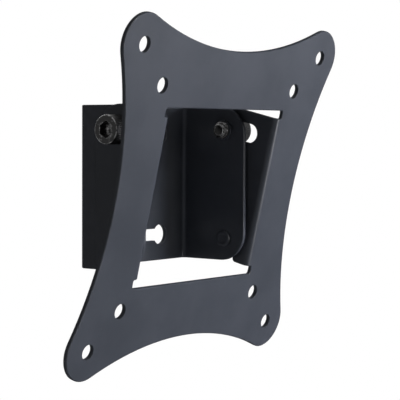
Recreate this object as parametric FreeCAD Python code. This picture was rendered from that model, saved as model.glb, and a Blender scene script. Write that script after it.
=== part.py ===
import FreeCAD, Part
import math
import os

# Tilting wall mount for a flat screen with a 100 mm or 75 mm square bolt pattern.
# Two folded sheets turn on each other: a U-shaped wall bracket, and a front plate
# whose window gives the two ears that straddle the bracket.
# Frame: X to the right as seen from the room, Y into the wall, Z up.
# Origin: on the wall's surface in the middle of the bracket's width, halfway between
# the heights of the pivot rivets and the tilt screws. Millimetres.

# Wall bracket: one sheet folded to a U
bracket_sheet = 1.5
bracket_width = 58.0
bracket_fold_inner_radius = 1.5
screw_end_margin = 8.3
pivot_end_margin = 7.8
flange_corner_radius = 10.2
flange_front_margin = 8.8
bracket_edge_break = 0.25
keyhole_head_diameter = 7.3
keyhole_slot_width = 4.3
keyhole_to_pin = 1.5
keyhole_travel = 26.8

# Places of the two axes that join plate and bracket
pin_spacing = 39.2
wall_to_pins = 19.7
plate_face_to_pivot = 10.5

# Front plate: one sheet with four round corners and hollow sides
plate_sheet = 1.5
large_pattern = 100.0
small_pattern = 75.0
screen_hole_diameter = 5.3
corner_radius = 10.0
waist = 100.0
window_corner_radius = 1.1
relief_length = 3.0
relief_reach = 0.6
plate_edge_break = 0.3

# Ears: folded back out of the window, one beside each flange of the bracket
ear_end_margin = 7.7
ear_fold_inner_radius = 0.8
ear_back_margin = 9.7
ear_back_slope = 13.4
ear_shoulder_radius = 10.5
ear_heel_radius = 1.2
ear_toe_depth = 7.1
ear_toe_round_share = 0.6
ear_lower_margin = 6.2

# Tilt: the shown pose, and the travel that the arc slots allow
shown_tilt = 13.4
full_tilt = 15.0
slot_side_clearance = 0.43

# Tilt screws: hexagon socket heads outside the ears, tapped bosses in the flanges
screw_diameter = 6.0
screw_length = 8.0
screw_tip_chamfer = 0.8
screw_cup_diameter = 3.8
screw_cup_depth = 0.8
screw_head_diameter = 9.8
screw_head_height = 6.0
screw_head_chamfer = 0.5
hex_across_flats = 5.0
hex_depth = 3.0
boss_wall = 0.6
boss_height = 1.2

# Washers that hold the ears off the flanges
washer_thickness = 1.4
washer_diameter = 12.0
washer_clearance = 0.2

# Pivot rivets: a shoulder for the ear and washer, a tenon closed inside the flange
shoulder_diameter = 6.0
rivet_head_diameter = 8.0
rivet_head_flat = 4.0
rivet_head_height = 1.6
tenon_diameter = 4.5
tenon_head_diameter = 6.1
tenon_head_flat = 3.6
tenon_head_height = 1.0

# Radial room of a round shaft in the hole that it turns in
running_clearance = 0.05

# Worked out from the sizes above
bracket_top = pin_spacing / 2 + screw_end_margin
bracket_bottom = -pin_spacing / 2 - pivot_end_margin
bracket_height = bracket_top - bracket_bottom
keyhole_spacing = pin_spacing - 2 * keyhole_to_pin
ear_height = pin_spacing + 2 * ear_end_margin
window_height = ear_height + 2 * relief_length
flange_outer = bracket_width / 2
flange_inner = flange_outer - bracket_sheet
flange_depth = wall_to_pins + flange_front_margin
boss_face = flange_inner - boss_height
ear_inner = flange_outer + washer_thickness
ear_outer = ear_inner + plate_sheet
ear_fold_outer_radius = ear_fold_inner_radius + plate_sheet
fold_line = ear_inner + ear_fold_outer_radius
pin_y = -wall_to_pins
pivot_z = -pin_spacing / 2
screw_z = pin_spacing / 2
plate_face_y = pin_y - plate_face_to_pivot
thread_hole_radius = screw_diameter / 2 + running_clearance
pivot = FreeCAD.Vector(0, pin_y, pivot_z)

AXIS_X = FreeCAD.Vector(1, 0, 0)
AXIS_Y = FreeCAD.Vector(0, 1, 0)
AXIS_Z = FreeCAD.Vector(0, 0, 1)
RIGHT = 1
LEFT = -1
HEX_SIDES = 6


def rounded_face(corners, lift):
    """A face from corners (a, b, radius); lift turns the pair a, b into a point."""
    points = [FreeCAD.Vector(a, b, 0) for a, b, _ in corners]
    count = len(corners)
    ends = []
    for i, (_, _, radius) in enumerate(corners):
        here = points[i]
        back = (points[i - 1] - here).normalize()
        ahead = (points[(i + 1) % count] - here).normalize()
        half = back.getAngle(ahead) / 2
        run = radius / math.tan(half)
        bisector = (back + ahead).normalize()
        middle = here + bisector * (radius / math.sin(half) - radius)
        ends.append((here + back * run, middle, here + ahead * run, radius))
    edges = []
    for i, (start, middle, end, radius) in enumerate(ends):
        if radius > 0:
            edges.append(Part.Arc(lift(start), lift(middle), lift(end)).toShape())
        following = ends[(i + 1) % count][0]
        if (following - end).Length > 1e-6:
            edges.append(Part.LineSegment(lift(end), lift(following)).toShape())
    return Part.Face(Part.Wire(edges))


def in_front_view(y):
    """Lift for outlines drawn in X and Z, at the given depth."""
    return lambda p: FreeCAD.Vector(p.x, y, p.y)


def in_side_view(x):
    """Lift for outlines drawn in Y and Z, at the given side."""
    return lambda p: FreeCAD.Vector(x, p.x, p.y)


def in_plan(z):
    """Lift for outlines drawn in X and Y, at the given height."""
    return lambda p: FreeCAD.Vector(p.x, p.y, z)


def rod(radius, length, start, direction):
    """A plain cylinder."""
    return Part.makeCylinder(radius, length, start, direction)


def turned(profile, z, side):
    """A solid of revolution about X from (x, radius) points, at a pin's height."""
    points = [FreeCAD.Vector(side * x, pin_y, z + radius) for x, radius in profile]
    face = Part.Face(Part.makePolygon(points + points[:1]))
    return face.revolve(FreeCAD.Vector(0, pin_y, z), AXIS_X, 360)


def is_sharp(solid, edge):
    """True if the two faces beside the edge meet at a corner, not smoothly."""
    middle = edge.valueAt((edge.FirstParameter + edge.LastParameter) / 2)
    normals = []
    for face in solid.ancestorsOfType(edge, Part.Face):
        u, v = face.Surface.parameter(middle)
        normals.append(face.normalAt(u, v))
    return len(normals) == 2 and normals[0].getAngle(normals[1]) > math.pi / 4


def break_edges(solid, width):
    """Take a small bevel off every sharp edge of a folded sheet."""
    edges = [edge for edge in solid.Edges if is_sharp(solid, edge)]
    return solid.makeChamfer(width, edges)


def plate_outline():
    """Face of the plate: round lobes at the outer holes, joined by hollow arcs."""
    reach = large_pattern / 2
    dip = waist / 2 - reach
    hollow = (reach ** 2 + dip ** 2 - corner_radius ** 2) / (2 * (corner_radius - dip))
    centre_far = waist / 2 + hollow
    share = corner_radius / (corner_radius + hollow)
    touch_along = reach * (1 - share)
    touch_out = reach + (centre_far - reach) * share
    tip = reach + corner_radius * math.cos(math.radians(45))
    edges = []
    for quarter in range(4):
        turn = FreeCAD.Rotation(AXIS_Y, 90 * quarter)

        def at(along, out):
            return turn.multVec(FreeCAD.Vector(along, plate_face_y, out))

        left_touch = at(-touch_along, touch_out)
        right_touch = at(touch_along, touch_out)
        lobe_end = at(touch_out, touch_along)
        edges.append(Part.Arc(left_touch, at(0, waist / 2), right_touch).toShape())
        edges.append(Part.Arc(right_touch, at(tip, tip), lobe_end).toShape())
    return Part.Face(Part.Wire(edges))


def plate_window():
    """The opening left by the ears, with relief notches beside their folds."""
    top = window_height / 2
    ear_end = ear_height / 2
    notch = fold_line + relief_reach
    right = [(notch, top, window_corner_radius), (notch, ear_end, 0), (fold_line, ear_end, 0)]
    right += [(x, -z, radius) for x, z, radius in reversed(right)]
    left = [(-x, z, radius) for x, z, radius in reversed(right)]
    face = rounded_face(right + left, in_front_view(plate_face_y - plate_sheet))
    return face.extrude(AXIS_Y * (3 * plate_sheet))


def ear_outline():
    """Side view of an ear; its back edge stands plumb at the slope's tilt."""
    slope = math.radians(ear_back_slope)
    sine, cosine = math.sin(slope), math.cos(slope)
    fold_end = plate_face_y + ear_fold_outer_radius
    top = ear_height / 2

    def tipped(back, up):
        """Point that lies back and up from the pivot when the plate is tipped."""
        return pin_y + back * cosine + up * sine, pivot_z - back * sine + up * cosine

    toe = plate_face_y + ear_toe_depth
    heel = tipped(ear_back_margin, -ear_lower_margin)
    step = pivot_z - (ear_lower_margin + (toe - pin_y) * sine) / cosine
    toe_rise = step + top
    shoulder_rise = (top - pivot_z + ear_back_margin * sine) / cosine
    shoulder = tipped(ear_back_margin, shoulder_rise)
    corners = [(fold_end, -top, 0), (toe, -top, ear_toe_round_share * toe_rise)]
    corners += [(toe, step, 0), (*heel, ear_heel_radius), (*shoulder, ear_shoulder_radius)]
    corners += [(fold_end, top, 0)]
    return corners


def arc_slot(side):
    """Cutter for the slot that a tilt screw runs in, an arc about the pivot."""
    width = screw_diameter / 2 + slot_side_clearance
    start_x = side * (ear_inner - plate_sheet)
    through = AXIS_X * (side * 3 * plate_sheet)

    def at(radius, degrees):
        angle = math.radians(degrees)
        return FreeCAD.Vector(start_x, pin_y + radius * math.sin(angle), pivot_z + radius * math.cos(angle))

    inner, outer = pin_spacing - width, pin_spacing + width
    half = full_tilt / 2
    lip = math.degrees(width / pin_spacing)
    edges = [
        Part.Arc(at(outer, 0), at(outer, half), at(outer, full_tilt)).toShape(),
        Part.Arc(at(outer, full_tilt), end_of_slot(at, full_tilt, lip), at(inner, full_tilt)).toShape(),
        Part.Arc(at(inner, full_tilt), at(inner, half), at(inner, 0)).toShape(),
        Part.Arc(at(inner, 0), end_of_slot(at, 0, -lip), at(outer, 0)).toShape(),
    ]
    return Part.Face(Part.Wire(edges)).extrude(through)


def end_of_slot(at, degrees, lip):
    """Far point of a slot's round end, on the slot's own tangent."""
    centre = at(pin_spacing, degrees)
    along = (at(pin_spacing, degrees + lip) - at(pin_spacing, degrees - lip)).normalize()
    return centre + along * (screw_diameter / 2 + slot_side_clearance)


def ear(side):
    """One ear with its fold."""
    inner_x, outer_x = side * ear_inner, side * ear_outer
    fold_x = side * fold_line
    fold_y = plate_face_y + ear_fold_outer_radius
    flat = rounded_face(ear_outline(), in_side_view(inner_x)).extrude(AXIS_X * (outer_x - inner_x))
    quarter = math.sqrt(0.5)
    lift = in_plan(-ear_height / 2)

    def on_fold(radius, across, deep):
        return lift(FreeCAD.Vector(fold_x - side * radius * across, fold_y - radius * deep, 0))

    large, small = ear_fold_outer_radius, ear_fold_inner_radius
    fold = Part.Wire([
        Part.Arc(on_fold(large, 0, 1), on_fold(large, quarter, quarter), on_fold(large, 1, 0)).toShape(),
        Part.LineSegment(on_fold(large, 1, 0), on_fold(small, 1, 0)).toShape(),
        Part.Arc(on_fold(small, 1, 0), on_fold(small, quarter, quarter), on_fold(small, 0, 1)).toShape(),
        Part.LineSegment(on_fold(small, 0, 1), on_fold(large, 0, 1)).toShape(),
    ])
    return flat.fuse(Part.Face(fold).extrude(AXIS_Z * ear_height))


def pivot_hole(side):
    """Cutter for the hole that an ear turns in on its rivet."""
    start = FreeCAD.Vector(side * (ear_inner - plate_sheet), pin_y, pivot_z)
    return rod(shoulder_diameter / 2 + running_clearance, 3 * plate_sheet, start, AXIS_X * side)


def screen_holes():
    """Cutters for both square bolt patterns."""
    cutters = []
    for pattern in (large_pattern, small_pattern):
        for x in (-pattern / 2, pattern / 2):
            for z in (-pattern / 2, pattern / 2):
                start = FreeCAD.Vector(x, plate_face_y - plate_sheet, z)
                cutters.append(rod(screen_hole_diameter / 2, 3 * plate_sheet, start, AXIS_Y))
    return cutters


def front_plate():
    """The screen's plate, upright, with both ears; turned to the shown tilt."""
    plate = plate_outline().extrude(AXIS_Y * plate_sheet).cut(plate_window())
    whole = plate.fuse([ear(LEFT), ear(RIGHT)]).removeSplitter()
    whole = break_edges(whole, plate_edge_break)
    cutters = screen_holes()
    for side in (LEFT, RIGHT):
        cutters += [arc_slot(side), pivot_hole(side)]
    whole = whole.cut(cutters)
    whole.rotate(pivot, AXIS_X, shown_tilt)
    return whole


def bracket_profile():
    """Plan view of the folded sheet: flanges forward, web against the wall."""
    outer = bracket_fold_inner_radius + bracket_sheet
    inner = bracket_fold_inner_radius
    corners = [(-flange_outer, -flange_depth, 0), (-flange_inner, -flange_depth, 0)]
    corners += [(-flange_inner, -bracket_sheet, inner), (flange_inner, -bracket_sheet, inner)]
    corners += [(flange_inner, -flange_depth, 0), (flange_outer, -flange_depth, 0)]
    corners += [(flange_outer, 0, outer), (-flange_outer, 0, outer)]
    return rounded_face(corners, in_plan(bracket_bottom))


def flange_silhouette():
    """Side view of the bracket, with both front corners of the flanges round."""
    corners = [(-flange_depth, bracket_bottom, flange_corner_radius), (0, bracket_bottom, 0)]
    corners += [(0, bracket_top, 0), (-flange_depth, bracket_top, flange_corner_radius)]
    face = rounded_face(corners, in_side_view(-bracket_width))
    return face.extrude(AXIS_X * (2 * bracket_width))


def keyhole(z):
    """Cutter: a round entry for a screw's head, and a slot to slide along."""
    entry_x = keyhole_travel / 2
    depth = 3 * bracket_sheet
    front = -2 * bracket_sheet
    slot_radius = keyhole_slot_width / 2
    entry = rod(keyhole_head_diameter / 2, depth, FreeCAD.Vector(entry_x, front, z), AXIS_Y)
    end = rod(slot_radius, depth, FreeCAD.Vector(-entry_x, front, z), AXIS_Y)
    corner = FreeCAD.Vector(-entry_x, front, z - slot_radius)
    return Part.makeBox(keyhole_travel, depth, keyhole_slot_width, corner).fuse([entry, end])


def boss(side):
    """Collar drawn out of the flange's inner face, for the tilt screw's thread."""
    face = FreeCAD.Vector(side * flange_inner, pin_y, screw_z)
    return rod(thread_hole_radius + boss_wall, boss_height, face, AXIS_X * -side)


def flange_holes(side):
    """Cutters for the tapped hole and the rivet's hole of one flange."""
    length = 2 * (bracket_sheet + boss_height)
    start_x = side * (boss_face - boss_height)
    thread_start = FreeCAD.Vector(start_x, pin_y, screw_z)
    tenon_start = FreeCAD.Vector(start_x, pin_y, pivot_z)
    tenon_hole_radius = tenon_diameter / 2 + running_clearance
    return [
        rod(thread_hole_radius, length, thread_start, AXIS_X * side),
        rod(tenon_hole_radius, length, tenon_start, AXIS_X * side),
    ]


def wall_bracket():
    """The folded channel that is screwed to the wall."""
    channel = bracket_profile().extrude(AXIS_Z * bracket_height)
    channel = break_edges(channel.common(flange_silhouette()), bracket_edge_break)
    channel = channel.fuse([boss(LEFT), boss(RIGHT)])
    cutters = flange_holes(LEFT) + flange_holes(RIGHT)
    cutters += [keyhole(keyhole_spacing / 2), keyhole(-keyhole_spacing / 2)]
    return channel.cut(cutters).removeSplitter()


def tilt_screw(side):
    """Socket head cap screw through an ear, a washer and a flange."""
    head_face = ear_outer + screw_head_height
    tip = ear_outer - screw_length
    shank = screw_diameter / 2
    head = screw_head_diameter / 2
    cup = screw_cup_diameter / 2
    profile = [
        (tip + screw_cup_depth, 0),
        (tip, cup),
        (tip, shank - screw_tip_chamfer),
        (tip + screw_tip_chamfer, shank),
        (ear_outer, shank),
        (ear_outer, head),
        (head_face - screw_head_chamfer, head),
        (head_face, head - screw_head_chamfer),
        (head_face, 0),
    ]
    return turned(profile, screw_z, side).cut(hex_socket(side * head_face, side))


def hex_socket(face_x, side):
    """Cutter for the key's socket, with two of its corners up and down."""
    half_step = math.pi / HEX_SIDES
    corner = hex_across_flats / 2 / math.cos(half_step)
    centre = FreeCAD.Vector(face_x, pin_y, screw_z)
    ring = []
    for i in range(HEX_SIDES + 1):
        angle = (2 * i + 1) * half_step
        ring.append(centre + FreeCAD.Vector(0, corner * math.cos(angle), corner * math.sin(angle)))
    return Part.Face(Part.makePolygon(ring)).extrude(AXIS_X * (-side * hex_depth))


def washer(side, z, bore_diameter):
    """Flat washer between flange and ear."""
    start = FreeCAD.Vector(side * flange_outer, pin_y, z)
    disc = rod(washer_diameter / 2, washer_thickness, start, AXIS_X * side)
    return disc.cut(rod(bore_diameter / 2 + washer_clearance, washer_thickness, start, AXIS_X * side))


def pivot_rivet(side):
    """Shoulder rivet: the ear turns on its shoulder, its tenon closes the flange."""
    inside = flange_inner - tenon_head_height
    outside = ear_outer + rivet_head_height
    profile = [(inside, 0), (inside, tenon_head_flat / 2), (flange_inner, tenon_head_diameter / 2)]
    profile += [(flange_inner, tenon_diameter / 2), (flange_outer, tenon_diameter / 2)]
    profile += [(flange_outer, shoulder_diameter / 2), (ear_outer, shoulder_diameter / 2)]
    profile += [(ear_outer, rivet_head_diameter / 2), (outside, rivet_head_flat / 2), (outside, 0)]
    return turned(profile, pivot_z, side)


def save(name, shape):
    """Check one piece and write it."""
    solids = shape.Solids
    if len(solids) != 1 or not shape.isValid():
        raise ValueError(f"{name}: {len(solids)} solids, valid {shape.isValid()}")
    solids[0].exportStep(f"parts/{name}.step")
    print(f"{name}: {solids[0].Volume / 1000:.3f} cm3, {len(solids[0].Faces)} faces")


def main():
    """Build every piece and write it to parts."""
    os.makedirs("parts", exist_ok=True)
    save("wall_bracket", wall_bracket())
    save("front_plate", front_plate())
    for word, side in (("left", LEFT), ("right", RIGHT)):
        save(f"tilt_screw_{word}", tilt_screw(side))
        save(f"tilt_washer_{word}", washer(side, screw_z, screw_diameter))
        save(f"pivot_rivet_{word}", pivot_rivet(side))
        save(f"pivot_washer_{word}", washer(side, pivot_z, shoulder_diameter))


main()
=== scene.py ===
"""A tilting wall mount for a small screen, dressed for the studio.

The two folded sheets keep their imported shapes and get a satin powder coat. The
screws, washers and rivets are turned afresh here, with knurls, threads and
rounded edges. Everything is in metres: X to the right as seen from the room,
Y into the wall, Z up, and the origin on the wall. Only the profiles of the
turned pieces and the grain of the finishes are given in millimetres.
"""
import logging
import math
from dataclasses import dataclass
from enum import Enum
from typing import Callable, Sequence, Union

import bpy
import numpy as np
from mathutils import Euler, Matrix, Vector


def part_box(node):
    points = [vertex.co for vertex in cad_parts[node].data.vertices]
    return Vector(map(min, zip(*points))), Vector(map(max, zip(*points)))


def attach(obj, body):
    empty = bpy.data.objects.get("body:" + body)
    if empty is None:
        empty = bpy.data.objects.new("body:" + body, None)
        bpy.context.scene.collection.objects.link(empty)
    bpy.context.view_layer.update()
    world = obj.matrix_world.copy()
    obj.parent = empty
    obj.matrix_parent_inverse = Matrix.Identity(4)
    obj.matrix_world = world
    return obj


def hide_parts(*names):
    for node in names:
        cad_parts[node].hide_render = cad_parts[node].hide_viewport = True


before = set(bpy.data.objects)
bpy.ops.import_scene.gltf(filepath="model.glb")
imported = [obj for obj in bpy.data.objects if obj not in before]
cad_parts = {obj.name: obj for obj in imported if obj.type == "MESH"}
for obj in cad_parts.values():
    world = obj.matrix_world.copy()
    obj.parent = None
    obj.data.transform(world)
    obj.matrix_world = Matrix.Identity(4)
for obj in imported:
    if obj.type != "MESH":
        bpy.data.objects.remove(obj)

LOG = logging.getLogger("mount")
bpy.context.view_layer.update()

Colour = tuple[float, float, float]
Number = Union[float, "Shade"]
Owner = Union[bpy.types.Material, bpy.types.World]
Sockets = dict[Union[int, str], object]
Placer = Callable[[np.ndarray], np.ndarray]

MM = 0.001
SHARP_ANGLE = math.radians(32)
NOISE_MIDDLE = 0.5
WHITE: Colour = (1.0, 1.0, 1.0)
COOL: Colour = (0.98, 0.99, 1.065)
WARM: Colour = (1.0, 0.90, 0.78)


class Side(Enum):
    """Which of the two ears a fixing belongs to, as seen from the room."""

    LEFT = -1
    RIGHT = 1

    @property
    def word(self) -> str:
        """The side's name as it stands in the names of nodes."""
        return self.name.lower()


class Slot(str, Enum):
    """Names of the record's material slots for the pieces made here; no piece here is given one."""

    SCREW = "screw_steel"
    WASHER = "washer_steel"
    RIVET = "rivet_paint"


class Shade:
    """A shader socket that takes part in sums written in Python."""

    def __init__(self, graph: "Graph", socket: bpy.types.NodeSocket) -> None:
        """Keep the socket and the graph that it belongs to."""
        self.graph = graph
        self.socket = socket

    def _math(self, operation: str, other: Number) -> "Shade":
        """Add one Math node.

        Args:
            operation: the node's operation.
            other: its second value or link; the first is this shade.

        Returns:
            The node's result.
        """
        return self.graph.node("ShaderNodeMath", {"operation": operation}, {0: self, 1: other})

    def __add__(self, other: Number) -> "Shade":
        """Sum."""
        return self._math("ADD", other)

    __radd__ = __add__

    def __sub__(self, other: Number) -> "Shade":
        """Difference."""
        return self._math("SUBTRACT", other)

    def __mul__(self, other: Number) -> "Shade":
        """Product."""
        return self._math("MULTIPLY", other)

    def larger(self, other: Number) -> "Shade":
        """The larger of two values."""
        return self._math("MAXIMUM", other)

    def ramp(self, low: float, high: float) -> "Shade":
        """Smooth step.

        Args:
            low: the value at which the result is 0.
            high: the value at which the result is 1.

        Returns:
            A value from 0 to 1 that eases in and out.
        """
        settings = {"interpolation_type": "SMOOTHSTEP", "clamp": True}
        sockets = {0: self, 1: low, 2: high, 3: 0.0, 4: 1.0}
        return self.graph.node("ShaderNodeMapRange", settings, sockets)


class Graph:
    """The node tree of one new material or world."""

    def __init__(self, owner: Owner) -> None:
        """Start with no nodes.

        Args:
            owner: the new material or world.
        """
        owner.use_nodes = True
        self.tree = owner.node_tree
        self.tree.nodes.clear()
        is_world = isinstance(owner, bpy.types.World)
        self.end_kind = "ShaderNodeOutputWorld" if is_world else "ShaderNodeOutputMaterial"

    @staticmethod
    def _socket(sockets: bpy.types.bpy_prop_collection, key: Union[int, str]) -> bpy.types.NodeSocket:
        """The socket at a place, or the first one in use with a name."""
        if isinstance(key, int):
            return sockets[key]
        return next(s for s in sockets if s.name == key and s.enabled)

    def _add(self, kind: str, settings: dict[str, object], sockets: Sockets) -> bpy.types.Node:
        """Add a node, set it up and fill its inputs."""
        made = self.tree.nodes.new(kind)
        for key, value in settings.items():
            setattr(made, key, value)
        for key, value in sockets.items():
            target = self._socket(made.inputs, key)
            if isinstance(value, Shade):
                self.tree.links.new(value.socket, target)
            else:
                target.default_value = value
        return made

    def node(
        self,
        kind: str,
        settings: dict[str, object],
        sockets: Sockets,
        output: Union[int, str] = 0,
    ) -> Shade:
        """Make one node of any kind.

        Args:
            kind: the node's type.
            settings: its own settings, which are set first.
            sockets: values or links by the socket's place or name.
            output: the output that the result stands for.

        Returns:
            That output, ready for sums.
        """
        made = self._add(kind, settings, sockets)
        return Shade(self, self._socket(made.outputs, output))

    def close(self, surface: Shade) -> None:
        """End the graph with a surface, a material's or a world's."""
        self._add(self.end_kind, {}, {"Surface": surface})

    def principled(self, sockets: Sockets) -> Shade:
        """A Principled shader with the given values and links."""
        return self.node("ShaderNodeBsdfPrincipled", {}, sockets)

    def matt_under_gloss(self, sockets: Sockets, share: float) -> Shade:
        """A matt Principled shader under a thin, even gloss.

        The gloss is a second Principled shader, a white metal, which reflects as
        much at a glancing view as straight on. A rough coat does so too.

        Args:
            sockets: the matt shader's values and links; the gloss shares its
                roughness and normal.
            share: how much of the light the gloss throws back.

        Returns:
            The mixed shader.
        """
        matt = self.principled({**sockets, "Specular IOR Level": 0.0})
        shared = {key: sockets[key] for key in ("Roughness", "Normal")}
        gloss = self.principled({"Base Color": rgba(WHITE), "Metallic": 1.0, **shared})
        return self.node("ShaderNodeMixShader", {}, {0: share, 1: matt, 2: gloss})

    def place(self) -> Shade:
        """Object coordinates, in metres."""
        return self.node("ShaderNodeTexCoord", {}, {}, "Object")

    def noise(self, where: Shade, millimetres: float, detail: float = 2.0, rough: float = 0.5) -> Shade:
        """Fractal noise.

        Args:
            where: the coordinates that it follows.
            millimetres: the size of its largest lumps.
            detail: how many finer layers it has.
            rough: how strong the finer layers are.

        Returns:
            A value round one half.
        """
        scale = 1.0 / (millimetres * MM)
        sockets = {"Vector": where, "Scale": scale, "Detail": detail, "Roughness": rough}
        return self.node("ShaderNodeTexNoise", {}, sockets)

    def blend(self, share: Number, low: object, high: object) -> Shade:
        """Mix two colours.

        Args:
            share: 0 for the first colour, 1 for the second.
            low: the first colour or link.
            high: the second colour or link.

        Returns:
            The mixed colour.
        """
        settings = {"data_type": "RGBA", "clamp_factor": True}
        return self.node("ShaderNodeMix", settings, {"Factor": share, "A": low, "B": high}, "Result")

    def relief(
        self,
        height: Shade,
        millimetres: float,
        strength: float,
        base: "Shade | None" = None,
    ) -> Shade:
        """Turn heights into a normal.

        Args:
            height: the height, from 0 to 1.
            millimetres: how far 1 stands out.
            strength: how much of it shows.
            base: a normal to start from.

        Returns:
            The bumped normal.
        """
        sockets: Sockets = {"Height": height, "Distance": millimetres * MM, "Strength": strength}
        if base is not None:
            sockets["Normal"] = base
        return self.node("ShaderNodeBump", {}, sockets)

    def backdrop_ray(self) -> Shade:
        """1 on a ray that shows the background: from the camera, off gloss or through glass."""
        kinds = ("Is Camera Ray", "Is Glossy Ray", "Is Transmission Ray")
        camera, gloss, glass = (self.node("ShaderNodeLightPath", {}, {}, kind) for kind in kinds)
        return camera.larger(gloss).larger(glass)


def rgba(colour: Colour) -> tuple[float, float, float, float]:
    """An opaque colour."""
    return (*colour, 1.0)


@dataclass(frozen=True)
class PowderCoat:
    """Satin charcoal powder coat with an even, fine grain.

    Attributes:
        name: the material's name.
        pale: the colour where the cloud is high.
        deep: the colour where the cloud is low.
        dust: the colour of the few specks.
        dust_share: how much of that colour a speck takes on.
        cloud_range: the cloud's values at which the colour is deep and pale.
        speck_range: the noise's values between which a speck fades in.
        grain_size: size of the finest lumps, in millimetres.
        ripple_size: size of the ripple under them, in millimetres.
        cloud_size: size of the faint clouds, in millimetres.
        speck_size: size of the specks, in millimetres.
        roughness: the roughness in the middle of the cloud and grain.
        cloud_roughness: how much the cloud sways it.
        grain_roughness: how much the grain sways it.
        edge_round: how far the shading rounds an edge, in millimetres.
        edge_samples: how many samples that takes.
        grain_part: the grain's part in the relief; the rest is the ripple's.
        relief_height: how far the relief stands out, in millimetres.
        relief_strength: how much of it shows.
        gloss_share: how much light the even gloss throws back.
    """

    name: str = "charcoal_powder_coat"
    pale: Colour = (0.093, 0.102, 0.122)
    deep: Colour = (0.075, 0.083, 0.100)
    dust: Colour = (0.13, 0.14, 0.155)
    dust_share: float = 0.25
    cloud_range: tuple[float, float] = (0.3, 0.7)
    speck_range: tuple[float, float] = (0.70, 0.80)
    grain_size: float = 0.45
    ripple_size: float = 2.2
    cloud_size: float = 24.0
    speck_size: float = 0.8
    roughness: float = 0.33
    cloud_roughness: float = 0.16
    grain_roughness: float = 0.14
    edge_round: float = 0.35
    edge_samples: int = 6
    grain_part: float = 0.65
    relief_height: float = 0.06
    relief_strength: float = 0.55
    gloss_share: float = 0.009

    def material(self) -> bpy.types.Material:
        """Build the coat.

        Returns:
            The material.
        """
        made = bpy.data.materials.new(self.name)
        graph = Graph(made)
        where = graph.place()
        grain = graph.noise(where, self.grain_size, detail=3.0, rough=0.6)
        ripple = graph.noise(where, self.ripple_size)
        cloud = graph.noise(where, self.cloud_size, detail=4.0, rough=0.55)
        specks = graph.noise(where, self.speck_size, detail=1.0).ramp(*self.speck_range)
        colour = graph.blend(cloud.ramp(*self.cloud_range), rgba(self.deep), rgba(self.pale))
        colour = graph.blend(specks * self.dust_share, colour, rgba(self.dust))
        sway = (cloud - NOISE_MIDDLE) * self.cloud_roughness
        sway = sway + (grain - NOISE_MIDDLE) * self.grain_roughness
        samples = {"samples": self.edge_samples}
        soft = graph.node("ShaderNodeBevel", samples, {"Radius": self.edge_round * MM})
        height = grain * self.grain_part + ripple * (1.0 - self.grain_part)
        normal = graph.relief(height, self.relief_height, self.relief_strength, soft)
        coat = {"Base Color": colour, "Roughness": sway + self.roughness, "Normal": normal}
        graph.close(graph.matt_under_gloss(coat, self.gloss_share))
        return made


@dataclass(frozen=True)
class TurnedSteel:
    """Dark steel that is worn bright on its rims; "wear" comes with the mesh.

    Attributes:
        name: the material's name.
        dark: the colour of the finish.
        bright: the colour where it is worn.
        dark_roughness: the finish's roughness.
        bright_roughness: the roughness where it is worn.
        metal: how metallic both are.
        fine_size: size of the fine spots, in millimetres.
        broad_size: size of the blotches, in millimetres.
        fine_weight: how much the spots add to the wear.
        broad_weight: how much the blotches add to it.
        worn_range: the sums between which the steel turns bright.
        blotch_roughness: how much the blotches sway the roughness.
        relief_height: how far the spots stand out, in millimetres.
        relief_strength: how much of that shows.
    """

    name: str
    dark: Colour
    bright: Colour
    dark_roughness: float
    bright_roughness: float
    metal: float = 0.85
    fine_size: float = 0.5
    broad_size: float = 1.3
    fine_weight: float = 1.2
    broad_weight: float = 1.8
    worn_range: tuple[float, float] = (0.40, 0.95)
    blotch_roughness: float = 0.2
    relief_height: float = 0.02
    relief_strength: float = 0.4

    def material(self) -> bpy.types.Material:
        """Build the steel.

        Returns:
            The material.
        """
        made = bpy.data.materials.new(self.name)
        graph = Graph(made)
        where = graph.place()
        wear = graph.node("ShaderNodeAttribute", {"attribute_name": "wear"}, {}, "Fac")
        fine = graph.noise(where, self.fine_size, detail=3.0, rough=0.6)
        broad = graph.noise(where, self.broad_size, detail=3.0)
        blotch = broad - NOISE_MIDDLE
        worn = wear + (fine - NOISE_MIDDLE) * self.fine_weight + blotch * self.broad_weight
        worn = worn.ramp(*self.worn_range)
        roughness = self.dark_roughness + worn * (self.bright_roughness - self.dark_roughness)
        graph.close(graph.principled({
            "Base Color": graph.blend(worn, rgba(self.dark), rgba(self.bright)),
            "Metallic": self.metal,
            "Roughness": roughness + blotch * self.blotch_roughness,
            "Normal": graph.relief(fine, self.relief_height, self.relief_strength),
        }))
        return made


SCREW_STEEL = TurnedSteel("dark_screw_steel", (0.018, 0.018, 0.018), (0.17, 0.17, 0.172), 0.52, 0.30)
WASHER_ZINC = TurnedSteel("dark_zinc", (0.030, 0.030, 0.032), (0.080, 0.080, 0.082), 0.42, 0.34)


@dataclass(frozen=True)
class Rings:
    """A turned surface: one row of numbers for each ring along its axis.

    along is the ring's place on the axis and radius its plain radius, both in
    millimetres. The other rows say how much of each form shows at the ring.
    """

    along: np.ndarray
    radius: np.ndarray
    hexagon: np.ndarray
    knurl: np.ndarray
    thread: np.ndarray
    wear: np.ndarray


@dataclass(frozen=True)
class Ring:
    """One ring of a turned piece, with the same values as a row of Rings."""

    along: float
    radius: float
    hexagon: float = 0.0
    knurl: float = 0.0
    thread: float = 0.0
    wear: float = 0.0


def stack(rings: Sequence[Ring]) -> Rings:
    """Put single rings together as rows of numbers."""
    rows = np.array([(r.along, r.radius, r.hexagon, r.knurl, r.thread, r.wear) for r in rings])
    return Rings(*rows.T)


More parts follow.
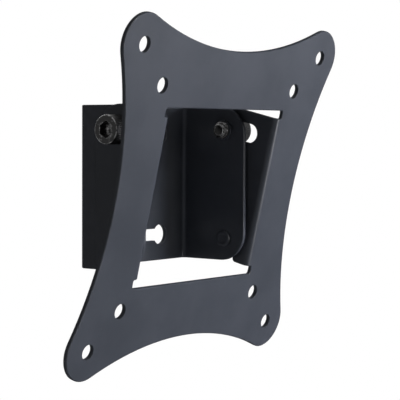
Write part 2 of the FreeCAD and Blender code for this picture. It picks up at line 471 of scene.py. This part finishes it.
def arc_rings(
    start: tuple[float, float],
    end: tuple[float, float],
    bulge: int,
    steps: int,
    wear: float,
) -> list[Ring]:
    """Rings round a quarter of an ellipse.

    With t from 0 to a quarter turn, one coordinate runs as sin t and the other
    as 1 - cos t, so the arc leaves along the axis or across it. The wear fades
    to both ends as sin 2t.

    Args:
        start: (along, radius) of its first ring.
        end: (along, radius) of its last ring.
        bulge: 1 to leave along the axis first, -1 to leave across it first.
        steps: how many rings it adds after the first.
        wear: how worn the arc is at its middle.

    Returns:
        The rings, first and last included.
    """
    turn = np.linspace(0.0, math.pi / 2, steps + 1)
    first, second = np.sin(turn), 1 - np.cos(turn)
    if bulge < 0:
        first, second = second, first
    along = start[0] + (end[0] - start[0]) * first
    radius = start[1] + (end[1] - start[1]) * second
    return [Ring(a, r, wear=wear * math.sin(2 * t)) for a, r, t in zip(along, radius, turn)]


def share_of(part: float, whole: float) -> float:
    """How much of a length is reached, from 0 to 1."""
    return min(1.0, max(0.0, part / whole))


def reach(node: str) -> tuple[float, float]:
    """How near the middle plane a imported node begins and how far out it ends, in millimetres."""
    low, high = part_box(node)
    near, far = sorted((abs(low[0]), abs(high[0])))
    return near / MM, far / MM


def make_piece(
    name: str,
    points: np.ndarray,
    faces: list[list[int]],
    wear: np.ndarray,
) -> bpy.types.Object:
    """Make one smooth object, at the origin with its place in its mesh.

    Args:
        name: the piece's name.
        points: its points, one row each, in metres.
        faces: its faces, as numbers of points.
        wear: how worn each point is.

    Returns:
        The object.
    """
    data = bpy.data.meshes.new(name)
    data.from_pydata(points.tolist(), [], faces)
    data.attributes.new("wear", "FLOAT", "POINT").data.foreach_set("value", wear.astype(np.float32))
    data.shade_smooth()
    data.set_sharp_from_angle(angle=SHARP_ANGLE)
    data.update()
    made = bpy.data.objects.new(name, data)
    bpy.context.scene.collection.objects.link(made)
    return made


@dataclass
class Lathe:
    """Turns rings into a closed mesh on an axis along X.

    Attributes:
        segments: how many points each ring has.
        teeth: how many ridges the knurl has.
        tooth_power: below 1 for ridges with full flanks and narrow grooves.
        knurl_depth: how deep the knurl's grooves are, in millimetres.
        pitch: the thread's pitch, in millimetres.
        thread_depth: the thread's depth, in millimetres.
        groove_slope: how steeply the thread's groove falls, above 2 for a flat
            floor.
    """

    segments: int
    teeth: int = 40
    tooth_power: float = 0.8
    knurl_depth: float = 0.16
    pitch: float = 1.0
    thread_depth: float = 0.56
    groove_slope: float = 2.5

    def _angles(self) -> np.ndarray:
        """The angle of each segment, as one row."""
        return np.linspace(0.0, 2 * math.pi, self.segments, endpoint=False)[None, :]

    def groove(self, rings: Rings) -> np.ndarray:
        """How far each point lies down the thread's groove.

        The groove is a ridge upside down in the phase, along / pitch - angle /
        full turn, folded at its middle and cut flat at its floor.

        Args:
            rings: the rings.

        Returns:
            An array (ring, segment) from 0 on the crest to 1 on the floor.
        """
        phase = np.mod(rings.along[:, None] / self.pitch - self._angles() / (2 * math.pi), 1.0)
        depth = self.groove_slope * (0.5 - np.abs(phase - 0.5))
        return rings.thread[:, None] * np.clip(depth, 0.0, 1.0)

    def points(self, rings: Rings) -> np.ndarray:
        """Points of the surface.

        Ring s and angle a give radius R(s) - knurl - groove, or the hexagon's
        reach R(s) / cos(a folded into one sixth) where the hexagon shows. The
        knurl is the absolute sine of half the teeth's angle.

        Args:
            rings: the rings, in order along the surface.

        Returns:
            An array (ring, segment, 3) of along, across and up, in millimetres.
        """
        angle = self._angles()
        sixth = math.pi / 3
        folded = np.mod(angle + math.pi / 2, sixth) - sixth / 2
        ridge = np.abs(np.sin(angle * self.teeth / 2)) ** self.tooth_power
        plain = rings.radius[:, None] - rings.knurl[:, None] * self.knurl_depth * (1 - ridge)
        plain = plain - self.thread_depth * self.groove(rings)
        radius = plain + rings.hexagon[:, None] * (rings.radius[:, None] / np.cos(folded) - plain)
        along = np.broadcast_to(rings.along[:, None], radius.shape)
        return np.stack([along, radius * np.cos(angle), radius * np.sin(angle)], axis=2)

    def mesh(self, name: str, rings: Rings, place: Placer) -> bpy.types.Object:
        """Make the object.

        Args:
            name: the piece's name.
            rings: its rings; the first and last have no radius and close it.
            place: turns (along, across, up) in millimetres into the row frame.

        Returns:
            The object.
        """
        grid = place(self.points(rings))
        count, across = grid.shape[:2]
        inner = grid[1:-1].reshape(-1, 3)
        points = np.concatenate([inner, grid[:1, 0], grid[-1:, 0]])
        first_pole, last_pole = len(inner), len(inner) + 1
        step = np.arange(across)
        following = (step + 1) % across
        row = np.arange(count - 3)[:, None] * across
        onward = row + across
        quads = np.stack([row + step, row + following, onward + following, onward + step], axis=2)
        last_row = (count - 3) * across
        caps = np.concatenate([
            np.stack([following, step, np.full(across, first_pole)], axis=1),
            np.stack([last_row + step, last_row + following, np.full(across, last_pole)], axis=1),
        ])
        worn = rings.wear[:, None] * (1.0 - self.groove(rings))
        wear = np.concatenate([worn[1:-1].ravel(), rings.wear[:1], rings.wear[-1:]])
        return make_piece(name, points, quads.reshape(-1, 4).tolist() + caps.tolist(), wear)


def axis_place(side: Side, node: str) -> Placer:
    """Where a turned piece of a node goes.

    Args:
        side: the ear that it belongs to.
        node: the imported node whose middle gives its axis.

    Returns:
        A function from (distance out from the middle plane, across, up) in
        millimetres to metres in the row frame.
    """
    low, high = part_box(node)
    centre_y = (low[1] + high[1]) / 2
    centre_z = (low[2] + high[2]) / 2

    def place(points: np.ndarray) -> np.ndarray:
        """Turn the left side's points by half a turn about Z, which keeps the faces outward."""
        out = points * MM
        return np.stack([
            side.value * out[..., 0],
            centre_y + side.value * out[..., 1],
            centre_z + out[..., 2],
        ], axis=-1)

    return place


def settle(
    piece: bpy.types.Object,
    node: str,
    body: str,
    material: bpy.types.Material,
) -> None:
    """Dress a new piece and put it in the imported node's stead.

    Args:
        piece: the new piece.
        node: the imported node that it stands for.
        body: the body that it rides on.
        material: its material.
    """
    piece.data.materials.append(material)
    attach(piece, body)
    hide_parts(node)
    LOG.info("%s stands for %s on %s", piece.name, node, body)


@dataclass
class TiltScrew:
    """Hexagon socket cap screw, M6: knurled head, socket, thread and dished tip.

    Attributes:
        side: the ear that it clamps.
        material: its steel.
        shank: the thread's outer radius; this and the lengths below are in
            millimetres.
        tip_chamfer: how far the chamfer reaches along the tip and inward.
        tip_wear: how worn the thread is at the tip; it fades to the head.
        cup: radius of the dish in the tip.
        cup_depth: depth of the dish.
        thread_run: length over which the thread starts, and runs out again.
        thread_step: distance between the rings that carry the thread.
        head: the head's radius.
        head_height: the head's height.
        socket_flat: half the socket's width across its flats.
        socket_depth: depth of its flats.
        dish: (share of the dish's radius, share of its depth) of its rings.
        mouth: (depth, width past the flats, wear) of the socket's mouth.
        wall_shares: where the rings on the socket's wall are.
        knurl_rings: how many rings carry the knurl.
        segments: how many points each ring has.
    """

    side: Side
    material: bpy.types.Material
    shank: float = 3.0
    tip_chamfer: float = 1.05
    tip_wear: float = 0.85
    cup: float = 1.6
    cup_depth: float = 0.9
    thread_run: float = 0.9
    thread_step: float = 0.0625
    head: float = 4.9
    head_height: float = 6.0
    socket_flat: float = 2.5
    socket_depth: float = 3.0
    dish: tuple[tuple[float, float], ...] = ((0.0, 1.0), (0.45, 0.9), (0.9, 0.35))
    mouth: tuple[tuple[float, float, float], ...] = (
        (0.0, 0.2, 0.55),
        (0.1, 0.06, 0.8),
        (0.14, 0.0, 0.5),
    )
    wall_shares: tuple[float, ...] = (0.1, 0.3, 0.65, 1.0)
    knurl_rings: int = 9
    segments: int = 240

    def _tip(self, tip: float) -> list[Ring]:
        """The dish in the tip and the narrow flat round it, broken on both sides."""
        rings = [Ring(tip + self.cup_depth * deep, self.cup * wide) for wide, deep in self.dish]
        rings += arc_rings((tip + 0.15, self.cup), (tip, self.cup + 0.15), 1, 3, 0.9)
        edge = self.shank - self.tip_chamfer
        rings += arc_rings((tip, edge - 0.1), (tip + 0.12, edge + 0.06), -1, 3, 1.0)
        return rings

    def _thread(self, tip: float, under: float) -> list[Ring]:
        """The thread from the tip's chamfer to the head, as one ridge in fine rings."""
        rings = []
        for along in np.arange(tip + 0.2, under - 0.1, self.thread_step):
            plain = min(self.shank, self.shank - (tip + self.tip_chamfer - along))
            shown = share_of(along - tip, self.thread_run) * share_of(under - along, self.thread_run)
            worn = self.tip_wear * share_of(under - along, under - tip)
            rings.append(Ring(float(along), plain, thread=shown, wear=worn))
        return rings

    def _head(self, under: float, face: float) -> list[Ring]:
        """The head: its underside, its rounded lower edge, the knurl and the face's rim."""
        rings = [Ring(under - 0.05, self.shank), Ring(under, self.shank + 0.1)]
        rings += [Ring(under, self.head - 0.35, wear=0.2)]
        rings += arc_rings((under, self.head - 0.25), (under + 0.3, self.head - 0.02), -1, 4, 0.5)
        start, end = under + 0.75, face - 0.85
        rings += [Ring(start - 0.25, self.head, wear=0.2)]
        for share in np.linspace(0.0, 1.0, self.knurl_rings):
            shown = share_of(min(share, 1.0 - share), 0.25)
            along = float(start + share * (end - start))
            rings.append(Ring(along, self.head, knurl=shown, wear=0.1 * share))
        rings += [Ring(face - 0.6, self.head - 0.03, wear=0.35)]
        rings += arc_rings((face - 0.5, self.head - 0.04), (face, self.head - 0.55), 1, 7, 0.75)
        rings += [Ring(face, self.head - 0.8, wear=0.25), Ring(face, self.socket_flat + 0.9, wear=0.22)]
        return rings

    def _socket(self, face: float) -> list[Ring]:
        """The socket: its broken mouth, its six flats and the drill's cone below them."""
        flat, floor = self.socket_flat, face - self.socket_depth
        rings = [Ring(face - deep, flat + wide, hexagon=1.0, wear=worn) for deep, wide, worn in self.mouth]
        top = rings[-1].along
        rings += [Ring(top + (floor - top) * share, flat, hexagon=1.0, wear=0.4) for share in self.wall_shares]
        rings += [Ring(floor, flat * 0.97, hexagon=0.15, wear=0.5), Ring(floor - 0.2, flat * 0.75, wear=0.6)]
        rings += [Ring(floor - 0.8, 0.0, wear=0.7)]
        return rings

    def build(self) -> None:
        """Make the screw and put it in its node's stead."""
        node = f"tilt_screw_{self.side.word}"
        tip, face = reach(node)
        under = face - self.head_height
        rings = self._tip(tip) + self._thread(tip, under) + self._head(under, face) + self._socket(face)
        lathe = Lathe(self.segments)
        piece = lathe.mesh(f"cap_screw_{self.side.word}", stack(rings), axis_place(self.side, node))
        settle(piece, node, f"{self.side.word}_tilt_screw", self.material)


@dataclass
class FlatWasher:
    """A thin stamped washer: one rim rounded by the punch, the other crisp.

    Attributes:
        side: the ear that it lies at.
        where: "tilt" or "pivot", the fixing that it belongs to.
        material: its steel.
        bore: its inner radius; this and the lengths below are in millimetres.
        rim: its outer radius.
        round_edge: radius of the rim's rounded edge.
        crisp_edge: width of the bevel on the rim's other edge.
        bore_bevel: width of the bevels at the bore.
        arc_steps: how many points the rounded edge has.
        segments: how many points each ring has.
    """

    side: Side
    where: str
    material: bpy.types.Material
    bore: float = 3.2
    rim: float = 6.0
    round_edge: float = 0.3
    crisp_edge: float = 0.08
    bore_bevel: float = 0.12
    arc_steps: int = 5
    segments: int = 120

    def _section(self, near: float, far: float) -> np.ndarray:
        """Points (along, radius) round the washer's section, from its inner face outward."""
        bevel, edge, crisp = self.bore_bevel, self.round_edge, self.crisp_edge
        points = [(near, self.bore + bevel), (near, self.rim - edge)]
        turn = np.linspace(0.0, math.pi / 2, self.arc_steps + 1)[1:]
        points += [(near + edge * (1 - math.cos(t)), self.rim - edge + edge * math.sin(t)) for t in turn]
        points += [(far - crisp, self.rim), (far, self.rim - crisp), (far, self.bore + bevel)]
        points += [(far - bevel, self.bore), (near + bevel, self.bore)]
        return np.array(points)

    def build(self) -> None:
        """Make the washer as a closed ring and put it in its node's stead."""
        node = f"{self.where}_washer_{self.side.word}"
        section = self._section(*reach(node))
        count, across = len(section), self.segments
        along, radius = section[:, :1], section[:, 1:]
        angle = np.linspace(0.0, 2 * math.pi, across, endpoint=False)
        grid = np.stack([
            np.broadcast_to(along, (count, across)),
            radius * np.cos(angle),
            radius * np.sin(angle),
        ], axis=2)
        points = axis_place(self.side, node)(grid).reshape(-1, 3)
        row = np.arange(count)[:, None] * across
        onward = np.roll(row, -1, axis=0)
        step = np.arange(across)
        following = (step + 1) % across
        faces = np.stack([row + step, row + following, onward + following, onward + step], axis=2)
        outward = np.clip((section[:, 1] - self.bore) / (self.rim - self.bore), 0, 1)
        wear = np.repeat(outward ** 3, across)
        name = f"flat_washer_{self.where}_{self.side.word}"
        piece = make_piece(name, points, faces.reshape(-1, 4).tolist(), wear)
        settle(piece, node, "wall_side", self.material)


@dataclass
class PivotRivet:
    """Shoulder rivet: a low head outside the ear, a rolled end inside the flange.

    Attributes:
        side: the ear that turns on it.
        material: its finish, which is the bracket's.
        tenon: radius in the flange's hole; all lengths are in millimetres.
        end: radius of the rolled end.
        end_height: height of the rolled end.
        end_room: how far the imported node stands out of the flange's inner side.
        shoulder: radius of the shoulder that the ear turns on.
        head: the head's radius.
        head_height: the head's height.
        sheet: thickness of the flange.
        segments: how many points each ring has.
    """

    side: Side
    material: bpy.types.Material
    tenon: float = 2.25
    end: float = 3.05
    end_height: float = 0.95
    end_room: float = 1.0
    shoulder: float = 3.0
    head: float = 4.0
    head_height: float = 1.6
    sheet: float = 1.5
    segments: int = 120

    def rings(self, inside: float, outside: float) -> list[Ring]:
        """The rivet's surface from the dimple in its rolled end to the middle of its head.

        Args:
            inside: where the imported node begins, in millimetres from the middle plane.
            outside: where it ends.

        Returns:
            The rings.
        """
        flange = inside + self.end_room
        ear = outside - self.head_height
        top = flange - self.end_height
        rings = [Ring(top + 0.35, 0.0), Ring(top + 0.33, 1.2)]
        rings += arc_rings((top + 0.3, 1.5), (top, 2.1), 1, 4, 0.1)
        rings += arc_rings((top, 2.15), (flange, self.end), -1, 8, 0.15)
        rings += [Ring(flange, self.tenon), Ring(flange + self.sheet, self.tenon)]
        rings += [Ring(flange + self.sheet, self.shoulder), Ring(ear, self.shoulder)]
        rings += [Ring(ear, self.head - 0.1), Ring(ear + 0.1, self.head), Ring(ear + 0.35, self.head)]
        rings += arc_rings((ear + 0.4, self.head), (outside, self.head * 0.55), 1, 8, 0.2)
        rings += [Ring(outside, self.head * 0.3), Ring(outside, 0.0)]
        return rings

    def build(self) -> None:
        """Make the rivet and put it in its node's stead."""
        node = f"pivot_rivet_{self.side.word}"
        rings = stack(self.rings(*reach(node)))
        lathe = Lathe(self.segments)
        piece = lathe.mesh(f"shoulder_rivet_{self.side.word}", rings, axis_place(self.side, node))
        settle(piece, node, "wall_side", self.material)


@dataclass
class FoldedSheets:
    """The wall bracket and the front plate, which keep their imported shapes."""

    coat: bpy.types.Material
    nodes: tuple[str, str] = ("wall_bracket", "front_plate")

    def build(self) -> None:
        """Coat both sheets."""
        for name in self.nodes:
            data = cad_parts[name].data
            data.materials.clear()
            data.materials.append(self.coat)
            LOG.info("%s is coated with %s", name, self.coat.name)


@dataclass(frozen=True)
class Softbox:
    """One large soft lamp.

    Attributes:
        name: the lamp's name.
        azimuth: its direction in degrees, from the front towards the right.
        elevation: its direction in degrees above the level.
        distance: how far it hangs from the target, in metres.
        width: its width, in metres.
        height: its height, in metres.
        watts: its power.
        spreads: whether it lights matt surfaces, and not the gloss alone.
        tint: the colour of its light.
    """

    name: str
    azimuth: float
    elevation: float
    distance: float
    width: float
    height: float
    watts: float
    spreads: bool = True
    tint: Colour = WHITE

    def build(self, target: Vector) -> None:
        """Hang the lamp and turn it to the object.

        Args:
            target: the point that it lights.
        """
        data = bpy.data.lights.new(self.name, "AREA")
        data.shape = "RECTANGLE"
        data.size = self.width
        data.size_y = self.height
        data.energy = self.watts
        data.color = self.tint
        lamp = bpy.data.objects.new(self.name, data)
        lamp.visible_diffuse = self.spreads
        side, rise = math.radians(self.azimuth), math.radians(self.elevation)
        level = math.cos(rise)
        away = Vector((math.sin(side) * level, -math.cos(side) * level, math.sin(rise)))
        lamp.location = target + away * self.distance
        lamp.rotation_euler = away.to_track_quat("Z", "Y").to_euler()
        bpy.context.scene.collection.objects.link(lamp)


@dataclass
class Studio:
    """Camera, lamps, floor, backdrop and world.

    Attributes:
        eye: the camera's place.
        turn: the camera's rotation about X, Y and Z, in degrees.
        focal: its focal length, in millimetres.
        sensor: the sensor's width, in millimetres.
        clip_start: the nearest distance that it shows.
        lit_point: the point that the lamps are turned to.
        floor_height: where the floor lies.
        floor_half: half the floor's width.
        shadow_reach: the distances between which the floor turns plain white.
        glow_share: how white the floor is under the object.
        paper: the floor's own colour, which takes the shadow.
        world_level: the world's light on the object, as a share of white.
        lamps: the lamps.
    """

    eye: tuple[float, float, float] = (-0.395588, -0.328164, 0.0188)
    turn: tuple[float, float, float] = (87.3269, -0.2604, -52.9567)
    focal: float = 130.393
    sensor: float = 36.0
    clip_start: float = 0.01
    lit_point: tuple[float, float, float] = (0.0, -0.02, 0.0)
    floor_height: float = -0.45
    floor_half: float = 1.6
    shadow_reach: tuple[float, float] = (0.6, 1.3)
    glow_share: float = 0.8
    paper: Colour = (0.8, 0.8, 0.8)
    world_level: float = 0.01
    lamps: tuple[Softbox, ...] = (
        Softbox("key_softbox", 41.0, 5.0, 0.62, 0.45, 0.3, 3.1, tint=COOL),
        Softbox("low_softbox", 40.0, -8.0, 0.8, 0.4, 0.4, 0.35, tint=COOL),
        Softbox("top_fill", 0.0, 32.0, 0.5, 0.3, 0.3, 0.22),
        Softbox("front_strip", 10.0, 6.0, 0.7, 0.14, 0.80, 18.0, spreads=False),
        Softbox("left_fill", -75.0, 14.0, 0.8, 0.4, 0.4, 0.16, tint=WARM),
        Softbox("back_softbox", 150.0, 40.0, 1.0, 0.6, 0.6, 3.0),
    )

    def build(self) -> None:
        """Set up everything that isn't the object."""
        self._camera()
        for lamp in self.lamps:
            lamp.build(Vector(self.lit_point))
        self._world()
        self._floor()
        bpy.context.scene.view_settings.view_transform = "Standard"

    def _camera(self) -> None:
        """Stand the camera where the photograph's was."""
        data = bpy.data.cameras.new("studio_camera")
        data.sensor_fit = "HORIZONTAL"
        data.sensor_width = self.sensor
        data.lens = self.focal
        data.clip_start = self.clip_start
        camera = bpy.data.objects.new("studio_camera", data)
        camera.location = self.eye
        camera.rotation_euler = Euler([math.radians(v) for v in self.turn], "XYZ")
        bpy.context.scene.collection.objects.link(camera)
        bpy.context.scene.camera = camera

    def _world(self) -> None:
        """White behind the object and in its gloss, and only a dim light on it."""
        world = bpy.data.worlds.new("studio_world")
        graph = Graph(world)
        strength = graph.backdrop_ray() * (1.0 - self.world_level) + self.world_level
        graph.close(graph.node("ShaderNodeBackground", {}, {"Color": rgba(WHITE), "Strength": strength}))
        bpy.context.scene.world = world

    def _floor(self) -> None:
        """A plain pale sheet below the object, white away from the object's shadow.

        The share of white grows with the distance from the middle, so the paper
        meets the world's white without an edge.
        """
        data = bpy.data.meshes.new("studio_floor")
        half = self.floor_half
        corners = [(-half, -half), (half, -half), (half, half), (-half, half)]
        data.from_pydata([(x, y, self.floor_height) for x, y in corners], [], [(0, 1, 2, 3)])
        floor = bpy.data.objects.new("studio_floor", data)
        bpy.context.scene.collection.objects.link(floor)
        material = bpy.data.materials.new("studio_paper")
        graph = Graph(material)
        length = {"operation": "LENGTH"}
        distance = graph.node("ShaderNodeVectorMath", length, {0: graph.place()}, "Value")
        glow = distance.ramp(*self.shadow_reach) * (1.0 - self.glow_share) + self.glow_share
        matt = graph.node("ShaderNodeBsdfDiffuse", {}, {"Color": rgba(self.paper)})
        white = graph.node("ShaderNodeEmission", {}, {"Color": rgba(WHITE), "Strength": 1.0})
        share = graph.backdrop_ray() * glow
        graph.close(graph.node("ShaderNodeMixShader", {}, {0: share, 1: matt, 2: white}))
        data.materials.append(material)


def main() -> None:
    """Build the studio, coat the sheets and make the fixings."""
    logging.basicConfig(level=logging.INFO)
    Studio().build()
    coat = PowderCoat().material()
    FoldedSheets(coat).build()
    steel = SCREW_STEEL.material()
    zinc = WASHER_ZINC.material()
    for side in Side:
        TiltScrew(side, steel).build()
        PivotRivet(side, coat).build()
        for where in ("tilt", "pivot"):
            FlatWasher(side, where, zinc).build()


if __name__ == "__main__":
    main()
